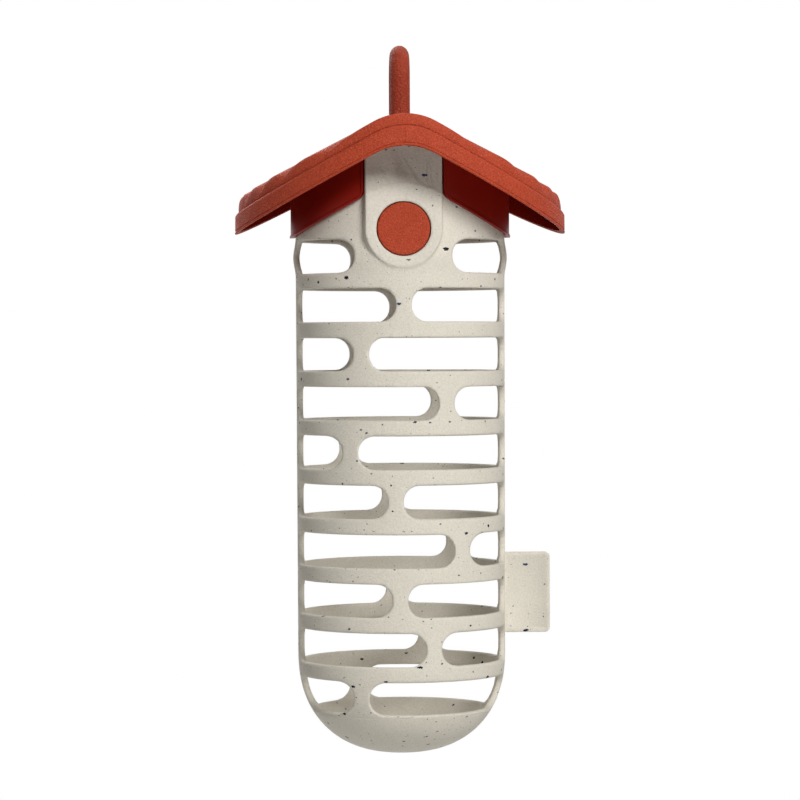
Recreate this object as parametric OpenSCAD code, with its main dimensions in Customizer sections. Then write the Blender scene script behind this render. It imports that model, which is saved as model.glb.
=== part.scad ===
// Suet ball feeder: a slotted cage with a domed foot hangs under a round, gabled lid with
// rippled slopes. Two push-button latches, front and rear, hold the cage on the lid. The
// origin is the point under the loop's crown that a cord or hook bears on. +Z is up, and
// the front faces -Y.

/* [Cage] */
// Outer radius of the cage
cage_r = 50; // [46:1:54]
// Wall thickness of the cage
cage_wall = 3; // [2.4:0.1:3.4]
// Height of a feeding slot
slot_h = 15.8; // [13.4:0.2:17]
// Height of the bar between two slots, and width of the side posts
bar_h = 7.2; // [6:0.2:8.4]
// Corner radius of a slot
slot_corner_r = 6.4; // [4:0.2:6.6]
// Width of the bridge between the two slots of a row
bridge_w = 6.7; // [5.5:0.1:8]
// Radius of the flat under the dome
base_r = 8; // [5:0.5:10]
// Height of the domed foot
dome_h = 49; // [44:1:56]
// Height of the closed bowl below the lowest slots
bowl_h = 22.5; // [18:0.5:26]
// Height of the plain neck above the top row of slots
neck_h = 23.9; // [22:0.1:26]
// How far the wall swells outwards at the top row
swell = 1.2; // [0.6:0.1:1.6]
// Half width of the plain wall between the two slots of the top row
front_wall_half = 22.9; // [21:0.1:25]

/* [Latch pads] */
// Width of the pad that carries the button hole
pad_w = 36; // [34:0.5:38]
// How far the pad stands out from the cage
pad_proud = 1.3; // [1:0.1:2]
// Thickness of the pad
pad_t = 3; // [2.6:0.1:3.4]
// Width of the cheeks at the sides of the pad
cheek_w = 2.5; // [2:0.1:3]

/* [Latches] */
// Radius of the button
button_r = 12.3; // [10:0.1:12.8]
// Gap round the button in its hole
button_gap = 0.4; // [0.2:0.05:0.6]
// Height of the button's centre above the top edge of the top slots
button_up = 3.9; // [2:0.1:6]
// Thickness of the latch's spring arm
arm_t = 2; // [1.5:0.1:2.6]
// Gap between the arm and the pad in front of it
arm_gap = 0.3; // [0.2:0.05:0.6]
// Gap between the arm and the cheeks beside it
arm_side_gap = 1; // [0.6:0.1:1.4]
// Gap between the arm's root and the roof
root_gap = 0.3; // [0.2:0.05:0.5]

/* [Roof] */
// Radius of the roof, which is round in plan
roof_r = 79; // [74:1:88]
// Slope of the roof in degrees
roof_pitch = 28; // [24:0.5:31]
// Radius of the ridge along the crests
ridge_r = 36; // [30:1:40]
// Radius of the ridge along the fascia and the ceiling
inner_ridge_r = 29; // [24:1:33]
// Height of the crests above the top edge of the fascia
crest_rise = 5.7; // [5:0.1:7]
// Height of the fascia
fascia_h = 9.3; // [7:0.1:12]
// Spacing of the ripples
ripple_pitch = 15.6; // [15:0.1:17]
// Depth of the valleys between the ripples
ripple_depth = 2.6; // [1.8:0.1:3]
// How far the rippled top stands in from the fascia
cap_inset = 1.8; // [1.5:0.1:3]
// Wall thickness of the roof
roof_wall = 2.6; // [2.2:0.1:3]
// Gap between the cage's pads and the ceiling
ceiling_gap = 1.5; // [1:0.1:3]

/* [Lid] */
// Gap between the cage and the skirt round it
skirt_gap = 0.6; // [0.4:0.1:1.2]
// Wall thickness of the skirt
skirt_wall = 2.2; // [1.6:0.1:2.8]
// Height of the neck behind the skirt, above the lower corners of the skirt's windows
neck_lap = 5; // [3:0.1:7]
// Height of the skirt's edge below the fascia's
skirt_drop = 15.8; // [14:0.2:17]
// Gap between the pad and the skirt's window
window_gap = 0.75; // [0.5:0.05:1.2]
// Corner radius of the window where it meets the skirt's edge
window_r = 3.5; // [2:0.5:6]
// Gap between the spigot and the neck round it
spigot_gap = 0.4; // [0.3:0.1:1]
// Wall thickness of the spigot
spigot_wall = 2; // [1.6:0.1:2.6]
// Height by which the spigot reaches down into the neck
spigot_reach = 10; // [6:1:14]

/* [Hanging loop] */
// Depth of the loop's bar, front to back
loop_bar = 10.2; // [8:0.1:11]
// Width of the loop's bar, seen from the front
loop_bar_w = 9.1; // [7:0.1:10]
// Inner radius of the loop's bend
loop_r = 6.4; // [5:0.1:8]
// Height of the loop's crown, inside, above the ridge
loop_clear = 27.2; // [22:0.1:34]

/* [Side tab] */
// How far the tab stands out from the cage
tab_w = 21.3; // [15:0.1:28]
// Height of the tab
tab_h = 38.6; // [30:0.1:46]
// Thickness of the tab
tab_t = 2.4; // [1.8:0.1:3]
// Corner radius of the tab
tab_r = 2.4; // [1:0.1:4]
// Height of the tab's top edge below the top edge of the top slots
tab_down = 149.8; // [140:0.2:160]

/* [Hidden] */
$fn = 96;
far = 400;

red = [0.62, 0.20, 0.13];
dark_red = [0.42, 0.08, 0.05];
cream = [0.85, 0.83, 0.76];

// Middle of the bridge in each row below the top one, top row first
bridge_x = [0, -19.9, 20.1, -25.1, -4.1, 27.3, -2.2, 13.6, -20.2];
rows = len(bridge_x) + 1;
pitch = slot_h + bar_h;

// Heights, down from the inside of the loop's crown
crest_z = -loop_clear;
fascia_top_z = crest_z - crest_rise;
fascia_low_z = fascia_top_z - fascia_h;
skirt_low_z = fascia_low_z - skirt_drop;
ceiling_z = crest_z - ripple_depth - roof_wall;
root_z = ceiling_z - root_gap;
pad_top_z = ceiling_z - ceiling_gap;
neck_top_z = gable_z(skirt_low_z, inner_ridge_r, pad_w / 2 + window_gap) + neck_lap;
slot_top_z = neck_top_z - neck_h;
button_z = slot_top_z + button_up;
tab_top_z = slot_top_z - tab_down;
base_z = slot_top_z - (rows - 1) * pitch - slot_h - bowl_h;
dome_z = base_z + dome_h;

// Radii and planes
bore_r = cage_r - cage_wall;
pad_y = cage_r + pad_proud;
pad_back_y = pad_y - pad_t;
arm_y = pad_back_y - arm_gap;
pad_r = pad_w / 2;
pocket_r = pad_r - cheek_w;
arm_r = pocket_r - arm_side_gap;
skirt_in = cage_r + skirt_gap;
skirt_out = skirt_in + skirt_wall;
spigot_out = bore_r - spigot_gap;
spigot_in = spigot_out - spigot_wall;
cap_r = roof_r - cap_inset;
ripple_n = 2 * floor(cap_r / ripple_pitch) + 2;
ripple_r = (pow(ripple_pitch / 2, 2) + pow(ripple_depth, 2)) / (2 * ripple_depth);

// Points along an arc in degrees
function arc(x, z, rx, rz, from, to, steps = 12) =
    [for (k = [0 : steps]) let (a = from + (to - from) * k / steps)
        [x + rx * cos(a), z + rz * sin(a)]];

// Height under a gable line with a round ridge, on the straight part of its slope
function gable_z(apex, r, x) =
    apex - r * (1 - cos(roof_pitch)) - (abs(x) - r * sin(roof_pitch)) * tan(roof_pitch);

// Turns a drawing in X and Z into a slab centred on the XZ plane
module slab(depth) {
    rotate([90, 0, 0]) linear_extrude(depth, center = true) children();
}

// Everything under a gable line with a round ridge
module under_gable(apex, r) {
    slab(far) polygon(concat(
        [[far, gable_z(apex, r, far)]],
        arc(0, apex - r, r, r, 90 - roof_pitch, 90 + roof_pitch),
        [[-far, gable_z(apex, r, far)], [-far, -3 * far], [far, -3 * far]]));
}

// Height of the ripples above their valleys, at a distance from the middle of the roof, where
// one of them has its crest
function ripple_h(y) =
    let (across = (abs(y) + ripple_pitch / 2) % ripple_pitch - ripple_pitch / 2)
    sqrt(pow(ripple_r, 2) - pow(across, 2)) - ripple_r + ripple_depth;

// A block with the rippled top, which is bent over the ridge and runs straight down the slopes
module ripples() {
    steps = 6;
    valley_z = crest_z - ripple_depth;
    ends = [for (side = [-1, 1]) [side * 2 * roof_r, gable_z(valley_z, ridge_r, 2 * roof_r)]];
    bend = arc(0, valley_z - ridge_r, ridge_r, ridge_r, 90 + roof_pitch, 90 - roof_pitch, 8);
    line = concat([ends[0]], bend, [ends[1]]);
    nx = len(line);
    ny = ripple_n * steps + 1;
    low_z = gable_z(valley_z, ridge_r, 3 * roof_r);
    tops = [for (p = line, k = [0 : ny - 1])
        let (y = (k / steps - ripple_n / 2) * ripple_pitch) [p[0], y, p[1] + ripple_h(y)]];
    half = ripple_n / 2 * ripple_pitch;
    feet = [for (x = [-1, 1], y = [-1, 1]) [x * 2 * roof_r, y * half, low_z]];
    foot = nx * ny;
    polyhedron(concat(tops, feet), concat(
        [for (i = [0 : nx - 2], k = [0 : ny - 2])
            [i * ny + k, i * ny + k + 1, (i + 1) * ny + k + 1, (i + 1) * ny + k]],
        [concat([foot, foot + 1], [for (k = [ny - 1 : -1 : 0]) k]),
         concat([foot + 3, foot + 2], [for (k = [0 : ny - 1]) (nx - 1) * ny + k]),
         concat([foot + 2, foot], [for (i = [0 : nx - 1]) i * ny]),
         concat([foot + 1, foot + 3], [for (i = [nx - 1 : -1 : 0]) i * ny + ny - 1]),
         [foot, foot + 2, foot + 3, foot + 1]]));
}

module column(r) {
    translate([0, 0, -far]) cylinder(r = r, h = 2 * far);
}

module roof_shell() {
    color(red) difference() {
        union() {
            intersection() {
                column(roof_r);
                under_gable(fascia_top_z, inner_ridge_r);
            }
            intersection() {
                column(cap_r);
                ripples();
            }
        }
        intersection() {
            column(cap_r - roof_wall);
            under_gable(ceiling_z, inner_ridge_r);
        }
        intersection() {
            column(roof_r - roof_wall);
            under_gable(fascia_top_z - roof_wall, inner_ridge_r);
        }
        under_gable(fascia_low_z, inner_ridge_r);
    }
}

// Two legs on the ridge, front and rear, joined by a round bend. The bar is oval.
module hanging_loop() {
    bend_r = loop_r + loop_bar / 2;
    bar = arc(0, 0, loop_bar / 2, loop_bar_w / 2, 0, 345, 23);
    color(red) difference() {
        translate([0, 0, -loop_r]) {
            rotate([90, 0, 90]) rotate_extrude(angle = 180)
                translate([bend_r, 0]) polygon(bar);
            for (side = [-1, 1]) translate([0, side * bend_r, -loop_clear])
                linear_extrude(loop_clear) rotate(90) polygon(bar);
        }
        ripples();
    }
}

// Ring hung from the roof
module hung_ring(inner, outer) {
    intersection() {
        difference() {
            column(outer);
            column(inner);
        }
        under_gable(ceiling_z, inner_ridge_r);
    }
}

// Opening that the skirt leaves for a pad, with round lower corners
module window_2d() {
    half = pad_r + window_gap;
    corner_x = half + window_r;
    corner_z = gable_z(skirt_low_z, inner_ridge_r, corner_x) + window_r / cos(roof_pitch);
    corner = arc(corner_x, corner_z, window_r, window_r, 180, 270 - roof_pitch);
    side = concat([[half, far]], corner, [[half + window_r, -far]]);
    polygon(concat(side, [for (k = [len(side) - 1 : -1 : 0]) [-side[k][0], side[k][1]]]));
}

module lid_skirt() {
    color(dark_red) difference() {
        hung_ring(skirt_in, skirt_out);
        under_gable(skirt_low_z, inner_ridge_r);
        slab(far) window_2d();
    }
}

module lid_spigot() {
    color(dark_red) difference() {
        hung_ring(spigot_in, spigot_out);
        translate([0, 0, neck_top_z - spigot_reach - 2 * far])
            cylinder(r = cage_r, h = 2 * far);
        cube([2 * pocket_r + 2, far, 2 * far], center = true);
    }
}

// Pad outline: a strap with a round lower end about the button's centre
module strap_2d(r, top_z) {
    polygon(concat([[r, top_z]], [for (p = arc(0, button_z, r, r, 0, -180)) p], [[-r, top_z]]));
}

// A latch at the front: a round button on a spring arm that hangs from the roof
module latch() {
    intersection() {
        translate([0, -arm_y + arm_t / 2, 0]) slab(arm_t) strap_2d(arm_r, 0);
        under_gable(root_z, inner_ridge_r);
    }
    translate([0, -arm_y, button_z]) rotate([90, 0, 0])
        cylinder(r = button_r, h = pad_y - arm_y);
}

module front_latch() {
    color(red) latch();
}

module rear_latch() {
    color(red) rotate([0, 0, 180]) latch();
}

// Half section of the cage, filled, with its wall moved in by inset
module cage_section_2d(inset, top_z) {
    mid_z = slot_top_z - slot_h / 2;
    half = slot_h / 2 + bar_h / 4;
    polygon(concat(
        [[0, base_z + inset]],
        arc(base_r, dome_z, cage_r - base_r - inset, dome_h - inset, -90, 0, 10),
        [for (u = [-1 : 1 / 3 : 1])
            [cage_r - inset + swell * (1 + cos(180 * u)) / 2, mid_z + half * u]],
        [[cage_r - inset, top_z], [0, top_z]]));
}

// One slot, round at its end towards the middle and running out past the side
module slot_2d(row, side, edge) {
    r = slot_corner_r;
    low = slot_top_z - row * pitch - slot_h;
    outline = concat([[2 * cage_r, low]], arc(edge + r, low + r, r, r, 270, 180, 5),
                     arc(edge + r, low + slot_h - r, r, r, 180, 90, 5),
                     [[2 * cage_r, low + slot_h]]);
    polygon([for (p = outline) [side * p[0], p[1]]]);
}

module front_slots_2d() {
    for (row = [0 : rows - 1], side = [-1, 1])
        slot_2d(row, side, row == 0 ? front_wall_half : bridge_w / 2 + side * bridge_x[row - 1]);
}

module side_slots_2d() {
    for (row = [0 : rows - 1], side = [-1, 1]) slot_2d(row, side, bar_h / 2);
}

// Slots cut straight through front and back, which leave a post at each side
module slots() {
    intersection() {
        slab(3 * cage_r) front_slots_2d();
        rotate([0, 0, 90]) slab(3 * cage_r) side_slots_2d();
    }
}

module cage() {
    color(cream) difference() {
        union() {
            rotate_extrude() cage_section_2d(0, neck_top_z);
            intersection() {
                slab(2 * pad_y) strap_2d(pad_r, 0);
                under_gable(pad_top_z, inner_ridge_r);
            }
        }
        rotate_extrude() cage_section_2d(cage_wall, far);
        for (side = [-1, 1]) {
            translate([0, side * pad_back_y / 2, 0]) slab(pad_back_y) strap_2d(pocket_r, far);
            translate([0, side * pad_y, button_z]) rotate([90, 0, 0])
                cylinder(r = button_r + button_gap, h = 4 * pad_t, center = true);
        }
        slots();
    }
}

module side_tab() {
    color(cream) difference() {
        slab(tab_t) {
            translate([0, tab_top_z - tab_h]) square([cage_r + tab_w - tab_r, tab_h]);
            translate([cage_r, tab_top_z - tab_h + tab_r])
                square([tab_w, tab_h - 2 * tab_r]);
            for (z = [tab_top_z - tab_r, tab_top_z - tab_h + tab_r])
                translate([cage_r + tab_w - tab_r, z]) circle(tab_r);
        }
        column(cage_r);
    }
}

roof_shell();
hanging_loop();
lid_skirt();
lid_spigot();
front_latch();
rear_latch();
cage();
side_tab();
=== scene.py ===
# Suet ball feeder in moulded plastic: red lid, cream flecked cage
import math

import bpy
from mathutils import Euler, Matrix, Vector


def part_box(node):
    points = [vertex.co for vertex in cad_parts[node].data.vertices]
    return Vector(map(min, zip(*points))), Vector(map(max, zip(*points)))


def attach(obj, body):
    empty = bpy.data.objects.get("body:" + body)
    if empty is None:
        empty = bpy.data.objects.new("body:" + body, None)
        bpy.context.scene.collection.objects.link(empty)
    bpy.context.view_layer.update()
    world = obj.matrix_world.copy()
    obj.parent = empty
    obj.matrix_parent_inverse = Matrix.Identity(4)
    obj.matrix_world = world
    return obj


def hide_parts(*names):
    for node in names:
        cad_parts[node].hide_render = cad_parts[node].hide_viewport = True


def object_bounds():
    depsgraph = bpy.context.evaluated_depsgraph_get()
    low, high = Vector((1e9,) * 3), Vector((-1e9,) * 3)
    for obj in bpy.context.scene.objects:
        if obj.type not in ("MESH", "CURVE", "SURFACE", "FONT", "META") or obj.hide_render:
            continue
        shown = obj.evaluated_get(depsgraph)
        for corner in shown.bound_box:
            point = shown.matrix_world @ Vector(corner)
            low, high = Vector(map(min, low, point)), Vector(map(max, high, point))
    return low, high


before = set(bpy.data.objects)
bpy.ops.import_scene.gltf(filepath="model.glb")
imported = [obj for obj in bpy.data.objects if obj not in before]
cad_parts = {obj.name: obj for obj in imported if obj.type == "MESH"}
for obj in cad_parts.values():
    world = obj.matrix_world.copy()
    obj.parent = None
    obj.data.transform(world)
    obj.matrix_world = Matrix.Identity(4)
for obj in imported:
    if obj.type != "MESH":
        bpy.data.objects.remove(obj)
bpy.ops.object.select_all(action="DESELECT")
cadLow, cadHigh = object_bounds()
mm = 0.001
print("frame loaded")

# Sizes that several pieces share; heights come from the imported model
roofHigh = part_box("roof_shell")[1]
cageLow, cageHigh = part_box("cage")
latchLow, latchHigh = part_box("front_latch")
loopLow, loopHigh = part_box("hanging_loop")
tabLow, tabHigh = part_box("side_tab")

lid = {
    "pitch": math.radians(28),
    "crestPitch": math.radians(27.3),
    "crestRidge": 31 * mm,  # radius of the ridge along the crests
    "innerRidge": 29 * mm,  # radius of the ridge along fascia and ceiling
    "crestRise": 5.7 * mm,  # crests above the fascia's top edge
    "fasciaHeight": 9.3 * mm,
    "ceilingDrop": 5.2 * mm,  # ceiling below the crests
    "capInset": 1.8 * mm,
    "wall": 2.6 * mm,
    "skirtDrop": 15.8 * mm,
    "radius": roofHigh.x,
    "crest": roofHigh.z,
}
lid["fasciaTop"] = lid["crest"] - lid["crestRise"]
lid["fasciaLow"] = lid["fasciaTop"] - lid["fasciaHeight"]
lid["ceiling"] = lid["crest"] - lid["ceilingDrop"]
lid["skirtEdge"] = lid["fasciaLow"] - lid["skirtDrop"]

tube = {
    "radius": 50 * mm,
    "wall": 3 * mm,
    "buttonRadius": 12.3 * mm,
    "buttonGap": 0.4 * mm,
    "padRadius": 18 * mm,
    "padThick": 3 * mm,
    "padFace": cageHigh.y,
    "armRadius": 14.5 * mm,
}
tube["button"] = latchLow.z + tube["armRadius"]


# Height under a gable line with a round ridge
def gable(x, apex, ridge, pitch=lid["pitch"]):
    turn = ridge * math.sin(pitch)
    if abs(x) < turn:
        return apex - ridge + math.sqrt(ridge**2 - x**2)
    return apex - ridge * (1 - math.cos(pitch)) - (abs(x) - turn) * math.tan(pitch)


def smooth(value, start, end):
    t = min(max((value - start) / (end - start), 0), 1)
    return t * t * (3 - 2 * t)


def only(piece):
    bpy.ops.object.select_all(action="DESELECT")
    piece.select_set(True)
    bpy.context.view_layer.objects.active = piece


def modify(piece, kind, **settings):
    only(piece)
    step = piece.modifiers.new(kind.title(), kind)
    for key, value in settings.items():
        setattr(step, key, value)
    bpy.ops.object.modifier_apply(modifier=step.name)


def newest(name):
    piece = bpy.context.active_object
    piece.name = name
    piece.data.name = name
    return piece


def settle(piece):
    only(piece)
    bpy.ops.object.transform_apply(location=True, rotation=True, scale=True)
    return piece


def join(pieces, name):
    bpy.ops.object.select_all(action="DESELECT")
    for piece in pieces:
        piece.select_set(True)
    bpy.context.view_layer.objects.active = pieces[0]
    bpy.ops.object.join()
    return newest(name)


# Cuts or adds another piece, which is then thrown away
def combine(piece, other, how):
    modify(piece, "BOOLEAN", object=other, operation=how, solver="EXACT", use_self=True)
    bpy.data.objects.remove(other)


# Selects faces, edges or vertices by a test on their place
def pick(piece, kind, test):
    only(piece)
    bpy.ops.object.mode_set(mode="EDIT")
    bpy.ops.mesh.select_mode(type=kind)
    bpy.ops.mesh.select_all(action="DESELECT")
    bpy.ops.object.mode_set(mode="OBJECT")
    mesh = piece.data
    if kind == "VERT":
        for v in mesh.vertices:
            v.select = test(v.co)
    elif kind == "EDGE":
        for e in mesh.edges:
            a, b = (mesh.vertices[i].co for i in e.vertices)
            e.select = test(a, b)
    else:
        for f in mesh.polygons:
            f.select = test(f.center, f.normal)
    bpy.ops.object.mode_set(mode="EDIT")


def done():
    bpy.ops.object.mode_set(mode="OBJECT")


def cleanNormals(piece, gap=0.005 * mm):
    only(piece)
    bpy.ops.object.mode_set(mode="EDIT")
    bpy.ops.mesh.select_all(action="SELECT")
    bpy.ops.mesh.remove_doubles(threshold=gap)
    bpy.ops.mesh.normals_make_consistent(inside=False)
    done()


def shade(piece, degrees):
    only(piece)
    bpy.ops.object.shade_smooth_by_angle(angle=math.radians(degrees))


def box(low, high, name="cutter"):
    middle = [(a + b) / 2 for a, b in zip(low, high)]
    bpy.ops.mesh.primitive_cube_add(size=1, location=middle)
    bpy.context.active_object.scale = [b - a for a, b in zip(low, high)]
    return settle(newest(name))


def rod(radius, low, high, name="cutter", vertices=96):
    bpy.ops.mesh.primitive_cylinder_add(
        vertices=vertices, radius=radius, depth=high[1] - low[1],
        location=(low[0], (low[1] + high[1]) / 2, low[2]), rotation=(math.pi / 2, 0, 0))
    return settle(newest(name))


# Cuts new edges where a plane crosses the faces that pass a test
def scoreLine(piece, test, place, normal):
    pick(piece, "FACE", test)
    bpy.ops.mesh.bisect(plane_co=place, plane_no=normal)
    done()


# Drops the flat top of a block so that it follows the gable
def fitUnderGable(block, top):
    pick(block, "EDGE", lambda a, b: abs(a.x - b.x) > 2 * mm)
    bpy.ops.mesh.subdivide(number_cuts=11)
    done()
    for v in block.data.vertices:
        if v.co.z > top - mm:
            v.co.z = gable(v.co.x, top, lid["innerRidge"])


# A solid turned round the Z axis from a list of (radius, height)
def turned(outline, steps, name):
    bpy.ops.mesh.primitive_circle_add(vertices=len(outline), radius=1, fill_type="NOTHING")
    piece = newest(name)
    for v, (r, z) in zip(piece.data.vertices, outline):
        v.co = (r, 0, z)
    # The edge along the axis closes the ring, and has no wall to make
    pick(piece, "EDGE", lambda a, b: a.x + b.x < 0.001 * mm)
    bpy.ops.mesh.delete(type="EDGE")
    bpy.ops.mesh.select_all(action="SELECT")
    bpy.ops.mesh.spin(steps=steps, angle=2 * math.pi, center=(0, 0, 0), axis=(0, 0, 1))
    done()
    cleanNormals(piece)
    return piece


# A flat grid pressed into a disc, with its rows at given places along Y. Its columns draw
# together towards the rim, and its end rows close to a point.
def discGrid(columns, rows, radius, height, name):
    bpy.ops.mesh.primitive_grid_add(x_subdivisions=columns, y_subdivisions=len(rows) - 1, size=2)
    piece = newest(name)
    squeeze = math.radians(84)
    for v in piece.data.vertices:
        y = rows[round((v.co.y + 1) / 2 * (len(rows) - 1))]
        half = math.sqrt(max(radius**2 - y**2, 0))
        x = half * math.sin(v.co.x * squeeze) / math.sin(squeeze)
        v.co = (x, y, height(x, y))
    cleanNormals(piece, 0.02 * mm)
    return piece


# Pulls the selected rim out into one more ring, at a radius and a height that follows x
def ringOut(piece, radius, height):
    bpy.ops.mesh.extrude_region()
    done()
    for v in piece.data.vertices:
        if v.select:
            angle = math.atan2(v.co.y, v.co.x)
            x, y = radius * math.cos(angle), radius * math.sin(angle)
            v.co = (x, y, height(x))
    bpy.ops.object.mode_set(mode="EDIT")


roofLook = {
    "columns": 200,
    "ceilingColumns": 40,
    "turn": 1.2,  # degrees from row to row along the rim
    "pitch": 14.95 * mm,  # from ripple to ripple
    "depth": 3.1 * mm,  # before the valleys are rounded
    "fillet": 1.0 * mm,  # half width of the rounded valley
    "shoulder": (2.0 * mm, 4.8 * mm),  # rounding at the rim, inwards and down
    "shoulderGap": 0.6 * mm,  # the rounding stops this far above the fascia's top
    "tuck": 0.3 * mm,  # the ripples' ends draw in above the groove
    "edge": 0.95 * mm,  # width of the fascia's rounded top edge
    # Steps of that rounding, inwards and down, in widths of the edge
    "edgeSteps": ((1.12, 0.12), (1, 0), (0.75, 0.06), (0.45, 0.3), (0.1, 0.75), (0, 1.05)),
    # Steps round the fascia's lower edge, inwards and up, in mm
    "lowSteps": ((0, 0.55), (0.12, 0.22), (0.36, 0.05), (0.7, 0)),
    "groove": 0.9 * mm,  # between the ripples and the fascia's top edge
    "flare": 0.15 * mm,  # the fascia's top stands in this far
    "bead": 0.1 * mm,
    "beadHeight": 1.15 * mm,
    "line": 0.3 * mm,  # depth of the line above the bead
    "seam": 0.16 * mm,  # depth and half width of the mould seam over the ridge
}


def makeRoof():
    look = roofLook
    capRadius = lid["radius"] - lid["capInset"]
    half = look["pitch"] / 2
    curve = (half**2 + look["depth"] ** 2) / (2 * look["depth"])

    def arch(across):
        return math.sqrt(curve**2 - across**2) - curve

    def ripple(y):
        across = (abs(y) + half) % look["pitch"] - half
        left = half - abs(across)
        if left > look["fillet"]:
            return arch(across)
        rim = arch(half - look["fillet"])
        slope = (half - look["fillet"]) / (curve + rim)
        return rim - slope * (look["fillet"] ** 2 - left**2) / (2 * look["fillet"])

    def top(x, y):
        rimTop = gable(x, lid["fasciaTop"], lid["innerRidge"])
        crest = gable(x, lid["crest"], lid["crestRidge"], lid["crestPitch"]) + ripple(y)
        inward = (capRadius - math.hypot(x, y)) / look["shoulder"][0]
        if inward >= 1:
            return crest
        corner = min(look["shoulder"][1], crest - rimTop - look["shoulderGap"])
        return crest - corner * (1 - math.sqrt(max(1 - (1 - inward) ** 2, 0)))

    def fascia(offset):
        return lambda x: gable(x, lid["fasciaLow"], lid["innerRidge"]) + offset

    def ledge(offset):
        return lambda x: gable(x, lid["fasciaTop"], lid["innerRidge"]) + offset

    # Rows follow the rim evenly, with closer ones on each valley and at the mould seam
    count = round(90 / look["turn"])
    valleys = [(k + 0.5) * look["pitch"] for k in range(-5, 5)]
    near = 1.4 * look["fillet"]
    rows = [math.sin(math.radians(look["turn"] * k)) * capRadius for k in range(-count, count + 1)]
    rows = [y for y in rows if all(abs(y - valley) > near for valley in valleys)]
    rows += [valley + look["fillet"] * k / 2 for valley in valleys for k in range(-2, 3)]
    rows += [side * capRadius * math.cos(math.radians(0.3)) for side in (-1, 1)]
    rows.sort()

    roof = discGrid(look["columns"], rows, capRadius, top, "roof")
    only(roof)
    bpy.ops.object.mode_set(mode="EDIT")
    bpy.ops.mesh.select_mode(type="EDGE")
    bpy.ops.mesh.select_all(action="SELECT")
    bpy.ops.mesh.region_to_loop()
    outer, edge, bead = lid["radius"] - 0.03 * mm, look["edge"], look["beadHeight"]
    inner, foot = capRadius - lid["wall"], capRadius - look["tuck"]
    lip = outer - look["flare"]
    rings = [
        (capRadius - 0.3 * look["tuck"], ledge(0.45 * mm)),
        (foot, ledge(0)),
        (foot, ledge(-0.7 * look["groove"])),
        (foot + 0.2 * mm, ledge(-look["groove"])),
        (lip - 1.2 * edge, ledge(-0.7 * look["groove"])),
        *((lip - a * edge, ledge(-b * edge)) for a, b in look["edgeSteps"]),
        (outer - look["bead"], fascia(bead + 0.6 * mm)),
        (outer - look["bead"] - look["line"], fascia(bead + 0.3 * mm)),
        (outer - look["bead"] - look["line"], fascia(bead + 0.1 * mm)),
        (outer - 0.04 * mm, fascia(bead - 0.16 * mm)),
        (outer, fascia(bead - 0.3 * mm)),
        *((outer - a * mm, fascia(b * mm)) for a, b in look["lowSteps"]),
        (lid["radius"] - lid["wall"] + 0.5 * mm, fascia(0)),
        (lid["radius"] - lid["wall"], fascia(0.5 * mm)),
        (lid["radius"] - lid["wall"], ledge(-lid["wall"])),
        (inner, ledge(-lid["wall"])),
        (inner, lambda x: gable(x, lid["ceiling"], lid["innerRidge"])),
    ]
    for radius, height in rings:
        ringOut(roof, radius, height)
    done()

    # The seam is a fine groove over the ridge and down the fascia
    def isTop(p):
        return p.z > lid["ceiling"] + mm

    def isRim(p):
        return math.hypot(p.x, p.y) > capRadius - 0.01 * mm and p.z > lid["fasciaLow"] + 0.3 * mm

    for side in (-1, 1):
        scoreLine(roof, lambda c, n: abs(c.x) < mm and (isTop(c) or isRim(c)),
                  (side * look["seam"], 0, 0), (1, 0, 0))
    for v in roof.data.vertices:
        if abs(v.co.x) < 0.01 * mm and isRim(v.co):
            v.co.y -= math.copysign(look["seam"], v.co.y)
        elif abs(v.co.x) < 0.01 * mm and isTop(v.co):
            v.co.z -= look["seam"]
    shrink = inner / capRadius
    under = discGrid(look["ceilingColumns"], [y * shrink for y in rows], inner,
                     lambda x, y: gable(x, lid["ceiling"], lid["innerRidge"]), "under")
    roof = join([roof, under], "roof")
    cleanNormals(roof)
    shade(roof, 42)
    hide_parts("roof_shell")
    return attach(roof, "lid")


loopLook = {
    "halfWidth": 4.65 * mm,
    "halfDepth": 5.1 * mm,
    "bend": 11.5 * mm,  # radius of the bend along the middle of the bar
    "sides": 64,
    "legSteps": 16,
    "bendSteps": 60,
    "lower": 0.15 * mm,  # the crown is this far below the solid's
    # A panel of the mould ends in a step on the left of the front leg
    "panelTop": 5.2 * mm,  # below the loop's top
    "panelStep": 0.2 * mm,
    "panelFade": (48, 85),  # degrees from the front
}


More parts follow.
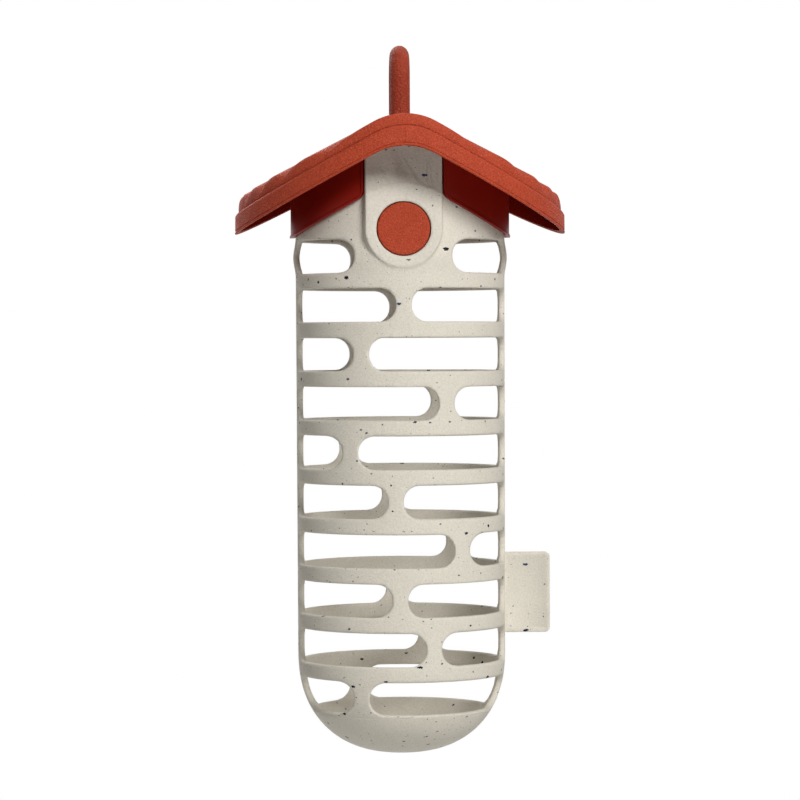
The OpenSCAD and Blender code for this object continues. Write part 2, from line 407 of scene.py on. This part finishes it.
def makeLoop():
    look = loopLook
    low = loopLow.z + 0.2 * mm
    top = loopHigh.z - look["lower"]
    crown = top - look["halfDepth"] - look["bend"]
    bpy.ops.mesh.primitive_circle_add(vertices=look["sides"], radius=1, fill_type="NGON",
                                      location=(0, -look["bend"], low))
    loop = newest("loop")
    loop.scale = (look["halfWidth"], look["halfDepth"], 1)
    settle(loop)
    bpy.ops.object.mode_set(mode="EDIT")
    bpy.ops.mesh.select_all(action="SELECT")
    rise = (crown - low) / look["legSteps"]
    for step in range(look["legSteps"]):
        bpy.ops.mesh.extrude_region_move(TRANSFORM_OT_translate={"value": (0, 0, rise)})
    bpy.ops.mesh.spin(steps=look["bendSteps"], angle=math.pi, center=(0, 0, crown),
                      axis=(1, 0, 0))
    for step in range(look["legSteps"]):
        bpy.ops.mesh.extrude_region_move(TRANSFORM_OT_translate={"value": (0, 0, -rise)})
    done()
    cleanNormals(loop)
    panelTop = top - look["panelTop"]
    for depth in (0, look["panelStep"]):
        scoreLine(loop, lambda c, n: c.y < 0 and abs(c.z - panelTop) < 3 * mm,
                  (0, 0, panelTop - depth), (0, 0, 1))
        scoreLine(loop, lambda c, n: c.y < 0 and abs(c.x) < mm and c.z < panelTop,
                  (-depth, 0, 0), (1, 0, 0))
    for v in loop.data.vertices:
        # The middle of the bar beside this point, and the way out from it
        bar = Vector((0, v.co.y, max(v.co.z - crown, 0)))
        if bar.z > 0:
            bar = bar.normalized() * look["bend"] + Vector((0, 0, crown))
        else:
            bar = Vector((0, math.copysign(look["bend"], v.co.y), v.co.z))
        out = v.co - bar
        if v.co.y < 0 and out.y < 0 and v.co.x < -0.5 * look["panelStep"]:
            angle = math.degrees(math.atan2(-out.x / look["halfWidth"],
                                            math.hypot(out.y, out.z) / look["halfDepth"]))
            if v.co.z < panelTop - 0.5 * look["panelStep"]:
                fade = 1 - smooth(angle, *look["panelFade"])
                v.co -= out.normalized() * look["panelStep"] * fade
    shade(loop, 40)
    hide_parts("hanging_loop")
    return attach(loop, "lid")


skirtLook = {
    "inner": 50.6 * mm,
    "outer": 52.8 * mm,
    "windowHalf": 18.75 * mm,
    "corner": 6.5 * mm,
    "beadWidth": 1.3 * mm,
    "bead": 0.45 * mm,
    "columns": 150,
    "rows": 44,
}


def makeSkirt():
    half, corner = skirtLook["windowHalf"], skirtLook["corner"]
    outer = skirtLook["outer"] - skirtLook["bead"]
    cornerX = half + corner
    cornerZ = gable(cornerX, lid["skirtEdge"], lid["innerRidge"]) + corner / math.cos(lid["pitch"])
    tangentX = cornerX - corner * math.sin(lid["pitch"])

    def low(x):
        if abs(x) >= tangentX:
            return gable(x, lid["skirtEdge"], lid["innerRidge"])
        return cornerZ - math.sqrt(max(corner**2 - (cornerX - abs(x)) ** 2, 0))

    sides = []
    for side in (-1, 1):
        bpy.ops.mesh.primitive_grid_add(x_subdivisions=skirtLook["columns"],
                                        y_subdivisions=skirtLook["rows"], size=2)
        sheet = newest("sheet")
        start = math.asin(half / outer)
        for v in sheet.data.vertices:
            # Columns draw together at the windows and rows at the lower edge
            across = math.sin(v.co.x * math.pi / 2)
            up = ((v.co.y + 1) / 2) ** 1.6
            angle = math.pi / 2 + across * (math.pi / 2 - start)
            x, y = outer * math.sin(angle), outer * math.cos(angle)
            foot, head = low(x), gable(x, lid["ceiling"], lid["innerRidge"])
            z = foot + (head - foot) * up
            edge = min(z - foot, outer * (math.pi / 2 - start) * (1 - abs(across)))
            r = outer + skirtLook["bead"] * (1 - smooth(edge, skirtLook["beadWidth"] - 0.3 * mm,
                                                        skirtLook["beadWidth"]))
            v.co = (side * r * math.sin(angle), r * math.cos(angle), z)
        only(sheet)
        bpy.ops.object.mode_set(mode="EDIT")
        bpy.ops.mesh.select_all(action="SELECT")
        bpy.ops.mesh.normals_make_consistent(inside=False)
        done()
        middle = sheet.data.polygons[len(sheet.data.polygons) // 2]
        if middle.normal.x * side < 0:
            sheet.data.flip_normals()
        modify(sheet, "SOLIDIFY", thickness=outer - skirtLook["inner"], offset=-1)
        modify(sheet, "BEVEL", width=0.25 * mm, segments=2, limit_method="ANGLE",
               angle_limit=math.radians(50))
        sides.append(sheet)
    skirt = join(sides, "skirt")
    shade(skirt, 40)
    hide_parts("lid_skirt")
    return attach(skirt, "lid")


latchLook = {
    "armThick": 2 * mm,
    "armGap": 0.3 * mm,
    "edge": 0.6 * mm,
    "dish": 0.2 * mm,
    "recess": 0.5 * mm,  # below the pad's face
}


def makeLatches():
    face = tube["padFace"]
    armFront = face - tube["padThick"] - latchLook["armGap"]
    armBack = armFront - latchLook["armThick"]
    arm = rod(tube["armRadius"], (0, -armFront, tube["button"]), (0, -armBack, tube["button"]),
              "arm")
    plate = box((-tube["armRadius"], -armFront, tube["button"]),
                (tube["armRadius"], -armBack, latchHigh.z))
    fitUnderGable(plate, latchHigh.z)
    combine(arm, plate, "UNION")
    modify(arm, "BEVEL", width=0.3 * mm, segments=2, limit_method="ANGLE",
           angle_limit=math.radians(40))
    knob = rod(tube["buttonRadius"], (0, latchLook["recess"] - face, tube["button"]),
               (0, -armFront + 0.2 * mm, tube["button"]), "knob", vertices=128)
    pick(knob, "FACE", lambda c, n: n.y < -0.9)
    bpy.ops.mesh.inset(thickness=2.2 * mm, depth=0)
    bpy.ops.mesh.inset(thickness=4 * mm, depth=-latchLook["dish"])
    done()
    modify(knob, "BEVEL", width=latchLook["edge"], segments=5, limit_method="ANGLE",
           angle_limit=math.radians(50))
    front = join([arm, knob], "frontLatch")
    cleanNormals(front)
    shade(front, 40)
    rear = front.copy()
    rear.data = front.data.copy()
    bpy.context.collection.objects.link(rear)
    rear.name = "rearLatch"
    rear.rotation_euler = (0, 0, math.pi)
    settle(rear)
    for latch, name in ((front, "front_latch"), (rear, "rear_latch")):
        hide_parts(name)
        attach(latch, name)
    return front, rear


cageLook = {
    "slotHeight": 15.5 * mm,
    "barHeight": 7.53 * mm,
    "corner": 7.3 * mm,
    "bridge": 7.4 * mm,
    "bridges": (0, -19.9, 20.1, -25.1, -4.1, 27.3, -2.2, 13.6, -20.2),
    "topHalf": 22.9 * mm,  # half width of the plain wall in the top row
    "flat": 1.5 * mm,
    "dome": 49 * mm,
    "fullness": 2.3,  # 2 is an ellipse
    "draft": 0.35 * mm,  # the tube narrows by this much down to the dome
    "bowl": 21.8 * mm,
    "swell": 1.2 * mm,  # the top row's wall stands out this far
    "domeSteps": 36,
    "swellSteps": 16,
    "turnSteps": 160,
    "neckTop": -59.1 * mm,
    "cheek": 2.5 * mm,
    "ceilingGap": 1.5 * mm,
    "boss": 34.3 * mm,  # radius of the flat's curved top above the button
    "bossDrop": 13.4 * mm,  # from the button's middle down to the curve's
    "bossStep": 0.7 * mm,
    "bossEdge": 0.8 * mm,
    "voxel": 0.8 * mm,
    "softening": 4,
    "keep": 0.45,  # share of the faces that are kept
    "parting": 1.6 * mm,  # below the lowest slots
    "partingDepth": 0.16 * mm,
}


def makeCage():
    radius, wall = tube["radius"], tube["wall"]
    pitch = cageLook["slotHeight"] + cageLook["barHeight"]
    rows = len(cageLook["bridges"]) + 1
    domeTop = cageLow.z + cageLook["dome"]
    slotTop = cageLow.z + cageLook["bowl"] + (rows - 1) * pitch + cageLook["slotHeight"]

    def outline(inset, top):
        points = [(0, cageLow.z + inset)]
        for k in range(cageLook["domeSteps"] + 1):
            a = math.pi / 2 * k / cageLook["domeSteps"]
            across = radius - cageLook["draft"] - cageLook["flat"] - inset
            points.append((cageLook["flat"] + across * math.sin(a) ** (2 / cageLook["fullness"]),
                           domeTop - (cageLook["dome"] - inset)
                           * math.cos(a) ** (2 / cageLook["fullness"])))
        middle = slotTop - cageLook["slotHeight"] / 2
        half = cageLook["slotHeight"] / 2 + cageLook["barHeight"] / 4
        for k in range(cageLook["swellSteps"] + 1):
            u = 2 * k / cageLook["swellSteps"] - 1
            points.append((radius - inset + cageLook["swell"] * (1 + math.cos(math.pi * u)) / 2,
                           middle + half * u))
        return points + [(radius - inset, top), (0, top)]

    cage = turned(outline(0, cageLook["neckTop"]), cageLook["turnSteps"], "cage")
    face, button = tube["padFace"], tube["button"]
    padTop = lid["ceiling"] - cageLook["ceilingGap"]
    strap = rod(tube["padRadius"], (0, -face, button), (0, face, button), "strap", 128)
    block = box((-tube["padRadius"], -face, button), (tube["padRadius"], face, padTop))
    fitUnderGable(block, padTop)
    combine(strap, block, "UNION")
    combine(cage, strap, "UNION")
    above = padTop + 20 * mm
    combine(cage, turned(outline(wall, above), cageLook["turnSteps"], "bore"), "DIFFERENCE")
    back = face - tube["padThick"]
    pocket = tube["padRadius"] - cageLook["cheek"]
    hollow = rod(pocket, (0, -back, button), (0, back, button), "hollow", 128)
    combine(hollow, box((-pocket, -back, button), (pocket, back, above)), "UNION")
    combine(cage, hollow, "DIFFERENCE")
    hole = tube["buttonRadius"] + tube["buttonGap"]
    combine(cage, rod(hole, (0, -2 * radius, button), (0, 2 * radius, button), "hole", 160),
            "DIFFERENCE")

    slots = []
    out = 2 * radius
    post = cageLook["barHeight"] / 2
    for row in range(rows):
        low = slotTop - row * pitch - cageLook["slotHeight"]
        high = low + cageLook["slotHeight"]
        for side in (-1, 1):
            if row == 0:
                edge = cageLook["topHalf"]
            else:
                edge = cageLook["bridge"] / 2 + side * cageLook["bridges"][row - 1] * mm
            for front in (-1, 1):
                a, b = sorted((side * edge, side * out)), sorted((front * post, front * out))
                cutter = box((a[0], b[0], low), (a[1], b[1], high))
                # Round the two long edges at the bridge and the two at the side post
                pick(cutter, "EDGE", lambda p, q: (
                    abs(p.z - q.z) < mm and (
                        (abs(p.x - side * edge) < mm and abs(q.x - side * edge) < mm)
                        or (abs(p.y - front * post) < mm and abs(q.y - front * post) < mm))))
                bpy.ops.mesh.bevel(offset=cageLook["corner"], segments=10, affect="EDGES")
                done()
                slots.append(cutter)
    combine(cage, join(slots, "slots"), "DIFFERENCE")
    print("cage cut")
    modify(cage, "REMESH", mode="VOXEL", voxel_size=cageLook["voxel"])
    modify(cage, "SMOOTH", factor=0.5, iterations=cageLook["softening"])

    # The flat round the button stands a little proud of the strap above it
    for v in cage.data.vertices:
        p = v.co
        if abs(p.y) > tube["padFace"] - 1.2 * mm and abs(p.x) < tube["padRadius"]:
            far = math.hypot(p.x, p.z - button + cageLook["bossDrop"])
            if p.z > button:
                step = cageLook["bossStep"] * smooth(far, cageLook["boss"],
                                                     cageLook["boss"] + cageLook["bossEdge"])
                p.y -= math.copysign(step, p.y)
    modify(cage, "DECIMATE", ratio=cageLook["keep"])

    # The parting line of the mould runs round the foot as a fine groove
    line = cageLow.z + cageLook["bowl"] - cageLook["parting"]
    depth = cageLook["partingDepth"]

    def onFoot(p):
        return abs(p.z - line) < 2 * mm and math.hypot(p.x, p.y) > 0.8 * radius

    for offset in (-depth, 0, depth):
        scoreLine(cage, lambda c, n: onFoot(c) and c.xy.dot(n.xy) > 0, (0, 0, line + offset),
                  (0, 0, 1))
    for v in cage.data.vertices:
        if abs(v.co.z - line) < 0.002 * mm and onFoot(v.co) and v.normal.xy.dot(v.co.xy) > 0:
            v.co -= v.normal * depth
    only(cage)
    bpy.ops.object.shade_smooth()
    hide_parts("cage")
    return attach(cage, "cage")


tabLook = {"corner": 2.4 * mm, "rim": 1.7 * mm, "sink": 0.4 * mm, "edge": 0.45 * mm}


def makeTab():
    # The tab runs a little way into the post that it is moulded on
    tab = box((tube["radius"] - mm, tabLow.y, tabLow.z), (tabHigh.x, tabHigh.y, tabHigh.z), "tab")
    pick(tab, "EDGE", lambda a, b: a.x > tabHigh.x - mm and b.x > tabHigh.x - mm
         and abs(a.y - b.y) > mm)
    bpy.ops.mesh.bevel(offset=tabLook["corner"], segments=8, affect="EDGES")
    done()
    pick(tab, "FACE", lambda c, n: abs(n.y) > 0.9)
    bpy.ops.mesh.inset(thickness=tabLook["rim"], depth=0)
    bpy.ops.mesh.inset(thickness=0.5 * mm, depth=-tabLook["sink"])
    done()
    modify(tab, "BEVEL", width=tabLook["edge"], segments=3, limit_method="ANGLE",
           angle_limit=math.radians(60))
    shade(tab, 40)
    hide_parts("side_tab")
    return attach(tab, "cage")


def linear(code):
    parts = [int(code[i:i + 2], 16) / 255 for i in (1, 3, 5)]
    return [c / 12.92 if c <= 0.04045 else ((c + 0.055) / 1.055) ** 2.4 for c in parts] + [1]


def addNode(tree, kind, inputs=None, **settings):
    item = tree.nodes.new(kind)
    for key, value in settings.items():
        setattr(item, key, value)
    for key, value in (inputs or {}).items():
        if isinstance(value, bpy.types.NodeSocket):
            tree.links.new(value, item.inputs[key])
        else:
            item.inputs[key].default_value = value
    return item


def startMaterial(name):
    material = bpy.data.materials.new(name)
    material.use_nodes = True
    tree = material.node_tree
    tree.nodes.clear()
    place = addNode(tree, "ShaderNodeTexCoord").outputs["Object"]
    return material, tree, place


def endMaterial(tree, color, rough, bump, specular):
    surface = addNode(tree, "ShaderNodeBsdfPrincipled", {
        "Base Color": color, "Roughness": rough, "Normal": bump,
        "Specular IOR Level": specular, "IOR": 1.49})
    addNode(tree, "ShaderNodeOutputMaterial", {"Surface": surface.outputs[0]})


pebbled = {
    "deep": "#AD4229",
    "pale": "#BE4D32",
    # Darker copy of these colours for the loop: painted shade
    "loopShadedDeep": "#973A25",
    "loopShadedPale": "#A7422D",
    "patch": 1 / (6 * mm),  # slow change of colour, every 6 mm or so
    "grain": 1 / (0.8 * mm),  # spacing of the pebbles, a little coarser than real to show
    # Paler colour painted on a share of the pebble tops: painted highlight
    "glint": "#BF5B43",
    "glintShare": 0.2,  # of the pebbles
    "glintSize": 0.3,  # of a pebble's spacing
    "reliefShade": (1.1, 0.78),  # painted highlight on the pebble tops and painted shade in the dips
    "roughness": 0.55,
    "height": 0.28 * mm,
    "specular": 0.11,
}


# Moulded polypropylene from a spark-eroded tool: dull, with a fine pebbled grain. Its small
# points of light are painted highlight on the pebble tops, and its dips carry painted shade
def makePebbledRed(name, deep, pale):
    material, tree, place = startMaterial(name)
    patch = addNode(tree, "ShaderNodeTexNoise", {
        "Vector": place, "Scale": pebbled["patch"], "Detail": 2, "Roughness": 0.5})
    color = addNode(tree, "ShaderNodeMix", {
        "Factor": patch.outputs["Fac"], "A": linear(deep), "B": linear(pale)},
        data_type="RGBA")
    cells = addNode(tree, "ShaderNodeTexVoronoi", {
        "Vector": place, "Scale": pebbled["grain"], "Smoothness": 0.5}, feature="SMOOTH_F1")
    fine = addNode(tree, "ShaderNodeTexNoise", {
        "Vector": place, "Scale": pebbled["grain"] * 1.5, "Detail": 2, "Roughness": 0.6})
    height = addNode(tree, "ShaderNodeMath", {
        0: cells.outputs["Distance"], 1: fine.outputs["Fac"]}, operation="SUBTRACT")
    bump = addNode(tree, "ShaderNodeBump", {
        "Height": height.outputs[0], "Strength": 1.0, "Distance": pebbled["height"]},
        invert=True)
    # Painted shade darkens the dips between the pebbles and painted highlight lightens their tops
    paintedRelief = addNode(tree, "ShaderNodeMapRange", {
        "Value": cells.outputs["Distance"], "From Min": 0.1, "From Max": 0.75,
        "To Min": pebbled["reliefShade"][0], "To Max": pebbled["reliefShade"][1]})
    tint = addNode(tree, "ShaderNodeMix", {
        "Factor": 1.0, "A": color.outputs["Result"], "B": paintedRelief.outputs["Result"]},
        data_type="RGBA", blend_type="MULTIPLY").outputs["Result"]
    # Painted highlight: a share of the pebble tops takes the paler glint colour in place of glints
    points = addNode(tree, "ShaderNodeTexVoronoi", {"Vector": place, "Scale": pebbled["grain"]})
    chance = addNode(tree, "ShaderNodeSeparateColor", {"Color": points.outputs["Color"]})
    glintPicked = addNode(tree, "ShaderNodeMath", {
        0: chance.outputs["Red"], 1: pebbled["glintShare"]}, operation="LESS_THAN")
    tip = addNode(tree, "ShaderNodeMath", {
        0: points.outputs["Distance"], 1: pebbled["glintSize"]}, operation="LESS_THAN")
    glint = addNode(tree, "ShaderNodeMath", {
        0: glintPicked.outputs[0], 1: tip.outputs[0]}, operation="MULTIPLY")
    tint = addNode(tree, "ShaderNodeMix", {
        "Factor": glint.outputs[0], "A": tint, "B": linear(pebbled["glint"])},
        data_type="RGBA").outputs["Result"]
    rough = addNode(tree, "ShaderNodeMapRange", {
        "Value": fine.outputs["Fac"], "To Min": pebbled["roughness"] - 0.07,
        "To Max": pebbled["roughness"] + 0.09})
    endMaterial(tree, tint, rough.outputs["Result"], bump.outputs["Normal"],
                pebbled["specular"])
    return material


polished = {
    # Darker than the grained red: painted shade for the skirt, spigot and roof inside, under the
    # roof
    "deep": "#82150A",
    "pale": "#941D10",
    "patch": 1 / (14 * mm),
    "ripple": 1 / (5 * mm),  # faint sink marks
    "roughness": 0.36,
    "specular": 0.15,
    "insideRoughness": 0.6,
    "insideSpecular": 0.0,
}


# The same polypropylene where the tool has no grain: half glossy on the skirt and spigot, dull
# inside the roof. Its colour is darker than the grained red's, as painted shade under the roof
def makeShadedPolishedRed(name, roughness, specular):
    material, tree, place = startMaterial(name)
    patch = addNode(tree, "ShaderNodeTexNoise", {
        "Vector": place, "Scale": polished["patch"], "Detail": 3})
    color = addNode(tree, "ShaderNodeMix", {
        "Factor": patch.outputs["Fac"], "A": linear(polished["deep"]),
        "B": linear(polished["pale"])}, data_type="RGBA")
    sink = addNode(tree, "ShaderNodeTexNoise", {
        "Vector": place, "Scale": polished["ripple"], "Detail": 1})
    bump = addNode(tree, "ShaderNodeBump", {
        "Height": sink.outputs["Fac"], "Strength": 0.15, "Distance": 0.3 * mm})
    rough = addNode(tree, "ShaderNodeMapRange", {
        "Value": patch.outputs["Fac"], "To Min": roughness - 0.05, "To Max": roughness + 0.08})
    endMaterial(tree, color.outputs["Result"], rough.outputs["Result"], bump.outputs["Normal"],
                specular)
    return material


flecked = {
    "base": "#D9D3C5",
    "pale": "#E0DACC",
    "patch": 1 / (7 * mm),
    "grain": 1 / (0.85 * mm),  # spacing of the grain, a little coarser than real to show
    # Painted shade in the grain's dips and painted highlight on its raised bits
    "grainShade": (0.9, 1.07),
    "roughness": 0.5,
    "height": 0.32 * mm,
    "specular": 0.08,
    # cell spacing, stretch, turn, share of cells that hold a fleck, and its half width
    "layers": (
        (5.6 * mm, 0.50, (20, 35, 50), 0.60, 0.44 * mm),
        (4.6 * mm, 0.60, (70, -25, 130), 0.60, 0.32 * mm),
        (7.0 * mm, 0.45, (-50, 60, 200), 0.60, 0.60 * mm),
        (3.1 * mm, 0.80, (10, 80, -70), 0.70, 0.21 * mm),
        (2.3 * mm, 0.90, (140, 15, 30), 0.65, 0.14 * mm),
    ),
    "ragged": 0.55 * mm,
    "raggedScale": 1 / (0.55 * mm),
    "inks": ("#15182A", "#1F1F24", "#3C4660", "#77685A"),
    "inkStops": (0.35, 0.62, 0.88),  # share of the flecks at which each next ink starts
}


# Moulded polypropylene blended with recycled flakes: warm cream, dull, fine grained, with
# sparse dark flecks drawn out by the flow of the melt
def makeFleckedCream():
    material, tree, place = startMaterial("moulded_polypropylene_flecked_cream")
    patch = addNode(tree, "ShaderNodeTexNoise", {
        "Vector": place, "Scale": flecked["patch"], "Detail": 3, "Roughness": 0.5})
    color = addNode(tree, "ShaderNodeMix", {
        "Factor": patch.outputs["Fac"], "A": linear(flecked["base"]),
        "B": linear(flecked["pale"])}, data_type="RGBA").outputs["Result"]
    fine = addNode(tree, "ShaderNodeTexNoise", {
        "Vector": place, "Scale": flecked["grain"], "Detail": 3, "Roughness": 0.65})
    # Painted shade and highlight of the grain: darker where its bump is low, lighter where high
    paintedGrainShade = addNode(tree, "ShaderNodeMapRange", {
        "Value": fine.outputs["Fac"], "From Min": 0.3, "From Max": 0.7,
        "To Min": flecked["grainShade"][0], "To Max": flecked["grainShade"][1]})
    color = addNode(tree, "ShaderNodeMix", {
        "Factor": 1.0, "A": color, "B": paintedGrainShade.outputs["Result"]},
        data_type="RGBA", blend_type="MULTIPLY").outputs["Result"]
    wobble = addNode(tree, "ShaderNodeTexNoise", {
        "Vector": place, "Scale": flecked["raggedScale"], "Detail": 3})
    centred = addNode(tree, "ShaderNodeVectorMath", {
        0: wobble.outputs["Color"], 1: (0.5, 0.5, 0.5)}, operation="SUBTRACT")
    spread = addNode(tree, "ShaderNodeVectorMath", {
        0: centred.outputs["Vector"], "Scale": 2 * flecked["ragged"]}, operation="SCALE")
    ragged = addNode(tree, "ShaderNodeVectorMath", {
        0: place, 1: spread.outputs["Vector"]}, operation="ADD").outputs["Vector"]
    for spacing, stretch, turn, share, halfWidth in flecked["layers"]:
        laid = addNode(tree, "ShaderNodeMapping", {
            "Vector": ragged, "Rotation": [math.radians(a) for a in turn],
            "Scale": (stretch / spacing, 1 / spacing, 1 / spacing)})
        cells = addNode(tree, "ShaderNodeTexVoronoi", {
            "Vector": laid.outputs["Vector"], "Scale": 1.0})
        chance = addNode(tree, "ShaderNodeSeparateColor", {"Color": cells.outputs["Color"]})
        # A fleck is there where its cell's chance is below the share, and varies in size
        size = addNode(tree, "ShaderNodeMapRange", {
            "Value": chance.outputs["Green"], "To Min": 0.5 * halfWidth / spacing,
            "To Max": 1.6 * halfWidth / spacing})
        inside = addNode(tree, "ShaderNodeMath", {
            0: cells.outputs["Distance"], 1: size.outputs["Result"]}, operation="LESS_THAN")
        held = addNode(tree, "ShaderNodeMath", {
            0: chance.outputs["Red"], 1: share}, operation="LESS_THAN")
        fleck = addNode(tree, "ShaderNodeMath", {
            0: inside.outputs[0], 1: held.outputs[0]}, operation="MULTIPLY")
        ink = addNode(tree, "ShaderNodeValToRGB", {"Fac": chance.outputs["Blue"]})
        ink.color_ramp.interpolation = "CONSTANT"
        ink.color_ramp.elements[0].color = linear(flecked["inks"][0])
        ink.color_ramp.elements[1].position = flecked["inkStops"][0]
        ink.color_ramp.elements[1].color = linear(flecked["inks"][1])
        for position, code in zip(flecked["inkStops"][1:], flecked["inks"][2:]):
            ink.color_ramp.elements.new(position).color = linear(code)
        color = addNode(tree, "ShaderNodeMix", {
            "Factor": fleck.outputs[0], "A": color, "B": ink.outputs["Color"]},
            data_type="RGBA").outputs["Result"]
    bump = addNode(tree, "ShaderNodeBump", {
        "Height": fine.outputs["Fac"], "Strength": 0.8, "Distance": flecked["height"]})
    rough = addNode(tree, "ShaderNodeMapRange", {
        "Value": fine.outputs["Fac"], "To Min": flecked["roughness"] - 0.06,
        "To Max": flecked["roughness"] + 0.1})
    endMaterial(tree, color, rough.outputs["Result"], bump.outputs["Normal"],
                flecked["specular"])
    return material


def dress(piece, material):
    piece.data.materials.clear()
    piece.data.materials.append(material)


view = {
    "distance": 1.631,
    "azimuth": -2.0,
    "eyeHeight": -132.3 * mm,
    "tiltDown": 0.96,
    "roll": -0.25,
    "sideways": -0.3 * mm,
    "lens": 153.0,  # on a 36 mm wide sensor
}


def makeCamera():
    turn = math.radians(view["azimuth"])
    place = Vector((view["sideways"], -view["distance"], view["eyeHeight"]))
    place.rotate(Euler((0, 0, turn)))
    aim = Euler((math.radians(90 - view["tiltDown"]), 0, turn)).to_matrix()
    roll = Matrix.Rotation(math.radians(view["roll"]), 3, "Z")
    bpy.ops.object.camera_add(location=place, rotation=(aim @ roll).to_euler())
    camera = bpy.context.active_object
    camera.data.lens = view["lens"]
    camera.data.sensor_width = 36
    camera.data.clip_end = 20
    bpy.context.scene.camera = camera


stage = {
    "floorDrop": 0.50,  # the feeder hangs this far above the floor
    "floorSize": 2.0,
    "floorColor": "#E3E2DF",
    "skyStrength": 0.01,
    # name: place, width, watts
    "lamps": {
        "key": ((0.6, -1.46, 0.74), 0.5, 24.5),
        "right": ((1.3, -1.05, 0.65), 0.8, 3.2),
        "left": ((-1.7, -0.4, 0.0), 1.0, 6.3),
        "top": ((0.1, 0.0, 1.5), 1.0, 7.5),
        "low": ((0.6, -1.25, -0.78), 0.7, 5.2),
        "back": ((-0.5, 1.4, 0.8), 1.0, 9),
    },
}


def whiteToCamera(tree):
    path = addNode(tree, "ShaderNodeLightPath")
    seen = addNode(tree, "ShaderNodeMath", {
        0: path.outputs["Is Camera Ray"], 1: path.outputs["Is Glossy Ray"]}, operation="MAXIMUM")
    return addNode(tree, "ShaderNodeMath", {
        0: seen.outputs[0], 1: path.outputs["Is Transmission Ray"]},
        operation="MAXIMUM").outputs[0]


def makeStage():
    target = Vector((0, 0, (cadLow.z + cadHigh.z) / 2))
    for name, (place, width, watts) in stage["lamps"].items():
        bpy.ops.object.light_add(type="AREA", location=place)
        lamp = bpy.context.active_object
        lamp.name = name
        lamp.data.size = width
        lamp.data.energy = watts
        lamp.rotation_euler = (target - Vector(place)).to_track_quat("-Z", "Y").to_euler()
    bpy.ops.mesh.primitive_circle_add(vertices=96, radius=stage["floorSize"] / 2,
                                      fill_type="NGON",
                                      location=(0, 0, cadLow.z - stage["floorDrop"]))
    floor = settle(newest("floor"))
    material = bpy.data.materials.new("plain_pale_floor")
    material.use_nodes = True
    tree = material.node_tree
    tree.nodes.clear()
    matt = addNode(tree, "ShaderNodeBsdfDiffuse", {"Color": linear(stage["floorColor"])})
    # The floor only sends light up: the camera looks through it to the white around it, so
    # views from below are free and no shadow shows
    clear = addNode(tree, "ShaderNodeBsdfTransparent")
    both = addNode(tree, "ShaderNodeMixShader", {
        0: whiteToCamera(tree), 1: matt.outputs[0], 2: clear.outputs[0]})
    addNode(tree, "ShaderNodeOutputMaterial", {"Surface": both.outputs[0]})
    dress(floor, material)

    world = bpy.data.worlds.new("studio")
    bpy.context.scene.world = world
    world.use_nodes = True
    tree = world.node_tree
    tree.nodes.clear()
    soft = addNode(tree, "ShaderNodeBackground", {
        "Color": (1, 1, 1, 1), "Strength": stage["skyStrength"]})
    white = addNode(tree, "ShaderNodeBackground", {"Color": (1, 1, 1, 1), "Strength": 1.0})
    both = addNode(tree, "ShaderNodeMixShader", {
        0: whiteToCamera(tree), 1: soft.outputs[0], 2: white.outputs[0]})
    addNode(tree, "ShaderNodeOutputWorld", {"Surface": both.outputs[0]})


makeCamera()
makeStage()
print("camera, lamps and floor set")

pebbledRed = makePebbledRed("moulded_polypropylene_pebbled_red",
                            pebbled["deep"], pebbled["pale"])
# A darker copy of the grained red for the loop, as painted shade
loopShadedRed = makePebbledRed("moulded_polypropylene_pebbled_red_painted_shade",
                         pebbled["loopShadedDeep"], pebbled["loopShadedPale"])
polishedShadedRed = makeShadedPolishedRed("moulded_polypropylene_polished_red_painted_shade",
                              polished["roughness"], polished["specular"])
insideShadedRed = makeShadedPolishedRed("moulded_polypropylene_inside_red_painted_shade",
                            polished["insideRoughness"], polished["insideSpecular"])
fleckedCream = makeFleckedCream()
print("materials made")

roof = makeRoof()
print("roof made")
loop = makeLoop()
skirt = makeSkirt()
frontLatch, rearLatch = makeLatches()
print("loop, skirt and latches made")
cage = makeCage()
tab = makeTab()
print("cage and tab made")

for piece in (roof, frontLatch, rearLatch):
    dress(piece, pebbledRed)
# The loop takes the darker copy of the grained red: painted shade
dress(loop, loopShadedRed)
# The roof has no grain on the inside, up to its ceiling, and there takes the dull red whose darker
# colour is painted shade
slack = 0.2 * mm
roof.data.materials.append(insideShadedRed)
for face in roof.data.polygons:
    spot = face.center
    under = gable(spot.x, lid["ceiling"], lid["innerRidge"]) + slack
    if spot.xy.length < lid["radius"] - lid["wall"] + slack and spot.z < under:
        face.material_index = 1
# The skirt and spigot take the polished red, whose darker colour is painted shade
for piece in (skirt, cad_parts["lid_spigot"]):
    dress(piece, polishedShadedRed)
for piece in (cage, tab):
    dress(piece, fleckedCream)

bpy.context.scene.view_settings.view_transform = "Standard"
